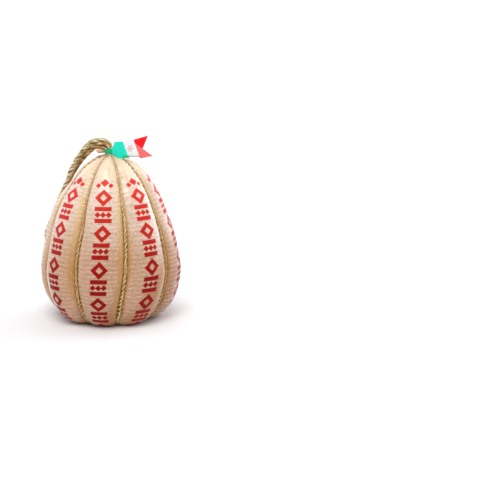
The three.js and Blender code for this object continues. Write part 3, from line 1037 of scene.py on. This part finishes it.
def field_colour(nodes, body, at, level, crust_and_shade_share):
    """Chalk on the shoulder, clay on the belly and a crust near the base; darker towards the base
    and the grooves, partly painted shade.
    """
    # Painted shade: the field turns from chalk to clay sooner towards the grooves.
    flank = at.share * at.share
    ground = nodes.mix(nodes.step(flank * 55 + level, 130, 335), body.chalk, body.clay)
    ground = nodes.mix(crust_and_shade_share, ground, body.crust_and_shade)
    # Painted shade: the far right rib's field is darker, as though turned from the light.
    ground = nodes.mix(at.on(FAR_RIGHT) * 0.52, ground, body.clay)
    return nodes.mix(at.on(FAR_RIGHT) * at.between(200, 385), ground, body.crust_and_shade)


def dashes(nodes, at, row, off_row, fine):
    """Small marks along the rows, each second row fainter: their share and their colour."""
    slot = at.x / DASH_PITCH + fine * 1.4 + nodes.chance(row, at.rib) * 40
    cell = nodes.math("FLOOR", slot)
    length = nodes.chance(cell, row, at.rib) * 1.5 - 0.2
    tall = nodes.chance(at.rib, cell, row) * 0.26 + 0.12
    share = nodes.step(length - nodes.math("FRACT", slot), -0.06, 0.1)
    share = share * nodes.step(tall - off_row, -0.08, 0.08) * nodes.step(fine, 0.25, 0.6)
    share = share * (0.85 - abs(row % 2) * 0.25)
    tint = nodes.chance(row, cell, at.rib)
    ink, *others = DASH_INKS.values()
    for low, other in zip(list(DASH_INKS)[1:], others):
        ink = nodes.mix(nodes.step(tint, low, low + 0.08), ink, other)
    return share, ink


def print_texture(nodes, at, colour, shown, row, off_row, fine):
    """Lays soft specks, pale gaps between the rows and the rows' own marks on a colour."""
    place = nodes.point(at.x * 0.2, at.y * 0.3, at.rib * 7)
    hues = nodes.parts(nodes.noise(place, 1, 2, 0.6, "Color"))
    for hue, (strength, tone) in zip(hues, SPECKS):
        speck = nodes.step(hue, 0.52, 0.64) * (shown * strength)
        colour = nodes.mix(speck, colour, tone, "MULTIPLY")
    gleam = nodes.step(off_row, 0.26, 0.48) * nodes.step(fine, 0.42, 0.6)
    colour = nodes.mix(gleam * shown * 0.36, colour, paint(246, 230, 220))
    share, ink = dashes(nodes, at, row, off_row, fine)
    return nodes.mix(share * shown * 0.42, colour, ink)


def rind_material(body):
    """Waxed rind with a chalky printed field and a red column on each rib."""
    material, nodes = new_material("Waxed rind")
    at = RibPlace(nodes)
    grain = grain_of(nodes, 1.1 * MM)
    smear = grain["Smear"]
    cloud = nodes.noise(at.seat, 0.022, 4, 0.6)
    level = (cloud - 0.5) * 70 + at.y
    fine = at.noise(0.12, 0.42, 3, 0.7)
    row, off_row = print_rows(nodes, at, fine)

    waver = nodes.noise(nodes.point(at.y * 0.05, at.rib, at.share), 1, 3) - 0.5
    lean = waver * 0.16 + at.share
    field = field_share(nodes, at, waver, lean, row, fine)
    # The crust, partly painted shade, begins higher on each rib's right side and on the right
    # rib, lower on the front and left ribs.
    turned = at.share * 120 + level
    for rib, offset in CRUST_AND_SHADE_OFFSETS.items():
        turned = at.on(rib) * offset + turned
    crust_and_shade_share = nodes.step(turned, 362, 442)
    ground = field_colour(nodes, body, at, level, crust_and_shade_share)
    colour = bare_rind(nodes, body, at, cloud, level)
    colour = nodes.mix(field * (0.92 - smear * 0.2), colour, ground)
    shown = field * (1 - crust_and_shade_share * 0.6)
    colour = print_texture(nodes, at, colour, shown, row, off_row, fine)

    # Painted highlight: a pale streak on the flank beside the second cord, standing in for a
    # reflection.
    painted_highlight = at.on(RIGHT) * nodes.step(lean, 0.35, 0.8) * at.between(90, 170)
    painted_highlight = painted_highlight * at.between(320, 230) * (field * 0.4)
    colour = nodes.mix(painted_highlight, colour, paint(252, 250, 255))

    wobble = nodes.noise(at.seat, 0.16, 3) - 0.5
    x, y = wobble * 1.6 + at.x, wobble * 1.2 + (at.y - ORNAMENT_TOP)
    red = nodes.most(ornament(nodes, x, y), finial(nodes, x, y))
    # The ink is lighter towards the neck: partly its own colour, partly painted light.
    ink = nodes.mix(nodes.step(level, 80, 340), body.scarlet, body.red)
    colour = nodes.mix(red * nodes.step(smear, 1.6, 0.9), colour, ink)

    ripple = nodes.step(off_row, 0.16, 0.34) * 0.35
    relief = at.noise(0.035, 0.3, 3, 0.6) + ripple + grain["Grain"] * 0.35
    nodes.shade({
        "Base Color": colour,
        "Normal": nodes.bump(relief, 0.5 * MM, 0.7),
        "Roughness": smear * 0.12 + field * 0.06 + 0.36,
        "Specular IOR Level": 0.06,
        "Coat Weight": 1 - red * 0.9,
        "Coat Roughness": 0.17,
    })
    return material


def petals(nodes, middle, half_width, half_height):
    """A rosette of six petals about a middle, seen from the front."""
    x, _, z = nodes.parts(nodes.place())
    across, up = (x - middle[0]) / half_width, (z - middle[1]) / half_height
    reach = nodes.math("SQRT", up * up + across * across)
    petal = abs(nodes.math("COSINE", nodes.math("ARCTAN2", up, across) * 3))
    return nodes.step(petal - reach, -0.06, 0.1)


def card_material(name, colour, rosette=None):
    """Laminated card: one colour that varies a little, with a faint grain."""
    material, nodes = new_material(name)
    grain = grain_of(nodes, 0.7 * MM)
    shown = nodes.mix(grain["Smear"] * 0.5, colour, [0.86 * v for v in colour])
    if rosette:
        shown = nodes.mix(petals(nodes, *ROSETTE), shown, rosette)
    nodes.shade({
        "Base Color": shown,
        "Normal": nodes.bump(grain["Grain"], 0.05 * MM),
        "Roughness": grain["Smear"] * 0.1 + 0.35,
        "Specular IOR Level": 0.3,
    })
    return material


def floor_material(colour):
    material, nodes = new_material("Pale floor")
    grain = nodes.noise(nodes.place(), 40)
    shown = nodes.mix(grain, colour, [0.985 * v for v in colour])
    nodes.shade({"Base Color": shown, "Roughness": 0.6})
    return material


# ---------------------------------------------------------------- pieces


class PROVOLONE_OT_stage(bpy.types.Operator):
    """Sets the pale floor, the soft lights, the surroundings and the camera"""

    bl_idname = "provolone.set_stage"
    bl_label = "Set the stage"

    def execute(self, context):
        stage = context.scene.provolone_stage
        deselect()
        bpy.ops.mesh.primitive_plane_add(size=FLOOR_SIZE, location=(0, 0, -FLOOR_DROP))
        floor = context.object
        floor.name = "floor"
        bpy.ops.object.transform_apply(location=True)
        floor.data.materials.append(floor_material(stage.floor))

        camera = added("camera", bpy.data.cameras.new("camera"))
        camera.location = stage.camera
        camera.rotation_euler = (math.radians(90 - stage.pitch), 0, -math.radians(stage.yaw))
        camera.data.lens = stage.lens
        camera.data.sensor_width = 36
        camera.data.clip_end = 200
        context.scene.camera = camera

        lamp = added("key", bpy.data.lights.new("key", "SUN"))
        lamp.data.energy = stage.key
        lamp.data.angle = math.radians(KEY_SPREAD)
        lamp.rotation_euler = KEY_WAY.to_track_quat("-Z", "Y").to_euler()

        # Bright walls stand behind the cheese and at its sides, and it is dimmer in front.
        world = bpy.data.worlds.new("surroundings")
        world.use_nodes = True
        context.scene.world = world
        nodes = Nodes(world.node_tree)
        side, back, up = nodes.parts(nodes.place("Generated"))
        room = nodes.mix(nodes.step(up, 0, 0.9), *LOW_AND_HIGH_LIGHT)
        room = nodes.mix(nodes.step(back, -0.1, 0.75), room, BACK_LIGHT)
        wings = nodes.step(abs(side), 0.35, 0.7) * nodes.step(back, -0.15, 0.2)
        wing = nodes.mix(nodes.step(side, -0.2, 0.2), *LEFT_AND_RIGHT_LIGHT)
        sky = world.node_tree.nodes["Background"]
        nodes.feed(sky.inputs["Color"], nodes.mix(wings, room, wing))
        sky.inputs["Strength"].default_value = stage.room
        context.scene.view_settings.view_transform = "Standard"
        return {"FINISHED"}


class PROVOLONE_OT_loop(bpy.types.Operator):
    """Lays the rope loop over the shoulder, with the fibres that stand off it"""

    bl_idname = "provolone.lay_loop"
    bl_label = "Lay the hanging loop"

    def execute(self, context):
        loop = context.scene.provolone_loop
        line = curve_through(LOOP_ROUTE, LOOP_STEP)
        along = np.arange(len(line)) * LOOP_STEP
        from_tie = np.minimum(along, along[::-1])
        ease = 0.35 + 0.65 * smooth((from_tie - 30 * MM) / (50 * MM))
        tone = 0.5 + 0 * along
        for middle, reach, drop in LOOP_SHADES:
            tone -= drop * np.exp(-(((along - middle) / reach) ** 2))
        rope = laid_cord(
            "loop_rope", line, 1.18 * loop.radius, loop.lay, strands=4, sides=20, ridges=5,
            seed=11, wander=0.26, ease=ease, tone=tone,
        )
        fibre = fibre_material("Loop fibre", loop, LOOP_WINDING, 0.6 * MM, "along", 0.29, 0.36)
        rope.data.materials.append(fibre)
        finish_piece(rope, "rope", "hanging_loop")
        fibres = stray_fibres(
            "loop_fibres", line, loop.radius, count=420, longest=16 * MM,
            thickness=0.11 * MM, seed=5,
        )
        fibres.data.materials.append(fibre)
        finish_piece(fibres, "rope")
        return {"FINISHED"}


class PROVOLONE_OT_body(bpy.types.Operator):
    """Forms the ribbed body from a grid that is wrapped round and closed"""

    bl_idname = "provolone.form_body"
    bl_label = "Form the body"

    def execute(self, context):
        body = context.scene.provolone_body
        rows, columns = body.rows, body.columns
        deselect()
        bpy.ops.mesh.primitive_grid_add(
            x_subdivisions=RIBS * columns, y_subdivisions=rows, size=1
        )
        piece = context.object
        piece.name = piece.data.name = "rind"
        mesh = piece.data
        flat = np.zeros(len(mesh.vertices) * 3, np.float32)
        mesh.vertices.foreach_get("co", flat)
        flat = flat.reshape(-1, 3)
        column = np.rint((flat[:, 0] + 0.5) * RIBS * columns).astype(int)
        row = np.rint((0.5 - flat[:, 1]) * rows).astype(int)
        rib = np.minimum(column // columns, RIBS - 1)
        points, along, reach, gap = skin(body, context.scene.provolone_net, rows, columns)
        wrapped = points[row, rib, column - rib * columns]
        mesh.vertices.foreach_set("co", wrapped.astype(np.float32).ravel())
        self.map_ribs(mesh, row, column, (rows, columns), (along, reach, gap))

        pick(piece)
        bpy.ops.object.mode_set(mode="EDIT")
        bpy.ops.mesh.select_all(action="SELECT")
        bpy.ops.mesh.remove_doubles(threshold=1e-6)
        bpy.ops.mesh.normals_make_consistent(inside=False)
        bpy.ops.object.mode_set(mode="OBJECT")
        mesh.materials.append(rind_material(body))
        finish_piece(piece, "rind", "cheese")
        return {"FINISHED"}

    def map_ribs(self, mesh, row, column, counts, measures):
        """Lays each rib out as a strip of its own, and stores what its pattern needs."""
        rows, columns = counts
        along, reach, gap = measures
        corner = np.zeros(len(mesh.loops), np.int32)
        mesh.loops.foreach_get("vertex_index", corner)
        corner_column, row = column[corner].reshape(-1, 4), row[corner]
        rib = (corner_column.min(axis=1) // columns)[:, None] + 0 * corner_column
        k = (corner_column - rib * columns).ravel()
        rib = rib.ravel()
        share = rib_places(columns)[k]
        for layer in list(mesh.uv_layers):
            mesh.uv_layers.remove(layer)
        baked = [(rib + 0.5 + 0.48 * share) / RIBS, 1 - row / rows]
        corner_map(mesh, "OFBake", np.stack(baked, -1))
        corner_map(mesh, "rib", np.stack([reach[row, rib, k], along[row]], -1))
        place = mesh.attributes.new("rib_place", "FLOAT_VECTOR", "CORNER")
        values = np.stack([share, rib, gap[row, rib, k]], -1)
        place.data.foreach_set("vector", values.astype(np.float32).ravel())


class PROVOLONE_OT_net(bpy.types.Operator):
    """Lays the eight net cords in their grooves and winds the two ties that gather them"""

    bl_idname = "provolone.lay_net"
    bl_label = "Lay the net and its ties"

    def execute(self, context):
        body, net = context.scene.provolone_body, context.scene.provolone_net
        fibre = fibre_material("Net fibre", net, NET_WINDING, 0.3 * MM, "height", 0.12, 0.34)
        fine = np.linspace(0, 1, FINE_PLACES)
        radius, _ = profile(body, fine)
        start = fine[np.argmax(radius > net.neck_ring)]
        end = fine[len(fine) - 1 - np.argmax(radius[::-1] > net.base_ring)]
        neck = np.array([*NECK, 0])
        for index in range(RIBS):
            lying = net_point(body, net, np.linspace(start, end, 500), index)
            # At both ends the cord leaves its groove for a tie.
            inward = unit((neck - lying[0]) * [1, 1, 0])
            gather = [neck - inward * away + [0, 0, height] for away, height in NECK_GATHER]
            under = -unit(lying[-1] * [1, 1, 0])
            tuck = [lying[-1] + under * away - [0, 0, drop] for away, drop in BASE_TUCK]
            line = curve_through(np.concatenate([gather, lying[6::8], tuck]), NET_STEP)
            cord = laid_cord(
                f"net_strand_{index + 1}", line, net.radius, net.lay, strands=2,
                seed=200 + 9 * index, taper=cord_share(net, line[:, 2]) * CORD_SHARE[index],
                wander=0.6, tone=CORD_TONE[index],
            )
            cord.data.materials.append(fibre)
            finish_piece(cord, "net_cord", f"net_cord_{index + 1}")
        self.cut_ends(fibre)
        self.tie(fibre, "neck_binding", "neck_tie", NECK, *NECK_WINDING)
        self.tie(fibre, "base_binding", "base_tie", (0, 0), *BASE_WINDING)
        return {"FINISHED"}

    def cut_ends(self, fibre):
        """The cut ends of the net cords, which leave the neck tie as a loose bundle."""
        draw = np.random.default_rng(31)
        start, end = CUT_ENDS
        way = np.array((end - start).normalized())
        side = unit(np.cross(way, [0, 0, 1]))
        up = np.cross(side, way)
        pieces = []
        for number in range(RIBS):
            turn = 2 * math.pi * number / RIBS + draw.uniform(-0.3, 0.3)
            out = math.cos(turn) * side + math.sin(turn) * up
            share = np.linspace(0, draw.uniform(0.82, 1.06), 6)[:, None]
            spread = (2.6 + 4.6 * share - 3.6 * share**2) * MM
            line = np.array(start) + share * (end - start).length * way + spread * out
            line = line + draw.normal(0, 0.45 * MM, (6, 3)) * share
            line[:, 2] -= 1.2 * MM * share[:, 0] ** 2
            line = curve_through(line, CUT_END_STEP)
            name, seed = f"cut_end_{number + 1}", 300 + number
            pieces.append(laid_cord(name, line, 2.1 * MM, 13 * MM, seed=seed, tone=1.4))
            name, seed = f"fray_{number + 1}", 320 + number
            pieces.append(stray_fibres(
                name, line, 1.6 * MM, count=40, longest=9 * MM, thickness=0.15 * MM, seed=seed
            ))
        deselect()
        for piece in pieces:
            piece.data.materials.append(fibre)
            piece.select_set(True)
        bpy.context.view_layer.objects.active = pieces[0]
        bpy.ops.object.join()
        bundle = pieces[0]
        bundle.name = bundle.data.name = "cut_ends"
        bundle.data.uv_layers.remove(bundle.data.uv_layers["OFBake"])
        finish_piece(bundle, "net_cord", "cord_ends")

    def tie(self, fibre, name, node, middle, ring, radius, low, high, turns):
        """Cord of a radius wound round a gather, from low to high in these turns."""
        share = np.linspace(0, 1, 160)
        turn = share * turns * 2 * math.pi
        height = low + radius + (high - low - radius) * share
        x, y = middle[0] + ring * np.sin(turn), middle[1] - ring * np.cos(turn)
        line = evenly(np.stack([x, y, height], -1), TIE_STEP)
        cord = laid_cord(name, line, radius, 6.8 * radius, seed=71)
        cord.data.materials.append(fibre)
        finish_piece(cord, "net_cord", node)


class PROVOLONE_OT_pennant(bpy.types.Operator):
    """Cuts the two layers of the pennant and its hem, and bends them round the neck"""

    bl_idname = "provolone.fold_pennant"
    bl_label = "Fold the pennant"

    def execute(self, context):
        card = context.scene.provolone_pennant
        finishes = [
            card_material(
                f"Card {name.replace('_', ' ')}", getattr(card, name),
                card.rosette if name == "white" else None,
            )
            for name in CARD_FINISHES
        ]
        for name, fields, offset, *nodes in PENNANT_LAYERS:
            piece = self.layer(name, fields, finishes, card.thickness, offset)
            finish_piece(piece, "card", *nodes)
        return {"FINISHED"}

    def layer(self, name, fields, finishes, thickness, offset):
        """One layer of card from its fields of colour, bent to the pennant's curve."""
        corners = list(dict.fromkeys(corner for field in fields.values() for corner in field))
        faces = [[corners.index(corner) for corner in field] for field in fields.values()]
        piece = mesh_piece(name, [(x * MM, 0, z * MM) for x, z in corners], faces)
        for face, finish in zip(piece.data.polygons, fields):
            face.material_index = CARD_FINISHES.index(finish)
        for finish in finishes:
            piece.data.materials.append(finish)
        pick(piece)
        bpy.ops.object.mode_set(mode="EDIT")
        cuts = [((x * MM, 0, 0), (1, 0, 0)) for x in CUTS_ALONG]
        cuts += [((0, 0, z * MM), (0, 0, 1)) for z in CUTS_UP]
        for place, way in cuts:
            bpy.ops.mesh.select_all(action="SELECT")
            bpy.ops.mesh.bisect(plane_co=place, plane_no=way)
        bpy.ops.object.mode_set(mode="OBJECT")
        for vertex in piece.data.vertices:
            vertex.co.y = self.depth(vertex.co.x / MM, vertex.co.z / MM) * MM + offset
        pick(piece)
        solid = piece.modifiers.new("thickness", "SOLIDIFY")
        solid.thickness = thickness
        solid.offset = 0
        bpy.ops.object.modifier_apply(modifier=solid.name)
        return piece

    def depth(self, x, z):
        """Where the card stands from front to back at a place of its outline, in mm."""
        if x < PENNANT_PLAN[0][0]:
            off = x - NECK[0] / MM
            return NECK[1] / MM - math.sqrt(max(0, TONGUE_RADIUS**2 - off**2))
        # The upper tail leans back beyond a slanting fold.
        lifted = max(0, (z - 396) + (x - 56.8) * 0.72)
        return float(np.interp(x, *zip(*PENNANT_PLAN))) + 0.25 * lifted


class PROVOLONE_PT_panel(bpy.types.Panel):
    """Lists the pieces in the order in which they are made"""

    bl_idname = "PROVOLONE_PT_panel"
    bl_label = "Provolone"
    bl_space_type = "VIEW_3D"
    bl_region_type = "UI"
    bl_category = "Provolone"

    def draw(self, context):
        for step in STEPS:
            self.layout.operator(step.bl_idname)


STEPS = [
    PROVOLONE_OT_stage,
    PROVOLONE_OT_loop,
    PROVOLONE_OT_body,
    PROVOLONE_OT_net,
    PROVOLONE_OT_pennant,
]
SETTINGS = {
    "provolone_body": BodySettings,
    "provolone_net": NetSettings,
    "provolone_loop": LoopSettings,
    "provolone_pennant": PennantSettings,
    "provolone_stage": StageSettings,
}
CLASSES = [*SETTINGS.values(), *STEPS, PROVOLONE_PT_panel]


def register():
    for kind in CLASSES:
        bpy.utils.register_class(kind)
    for name, kind in SETTINGS.items():
        setattr(bpy.types.Scene, name, PointerProperty(type=kind))


def unregister():
    for name in SETTINGS:
        delattr(bpy.types.Scene, name)
    for kind in reversed(CLASSES):
        bpy.utils.unregister_class(kind)


def main():
    register()
    bpy.ops.provolone.set_stage()
    bpy.ops.provolone.lay_loop()
    bpy.ops.provolone.form_body()
    bpy.ops.provolone.lay_net()
    bpy.ops.provolone.fold_pennant()


if __name__ == "__main__":
    main()
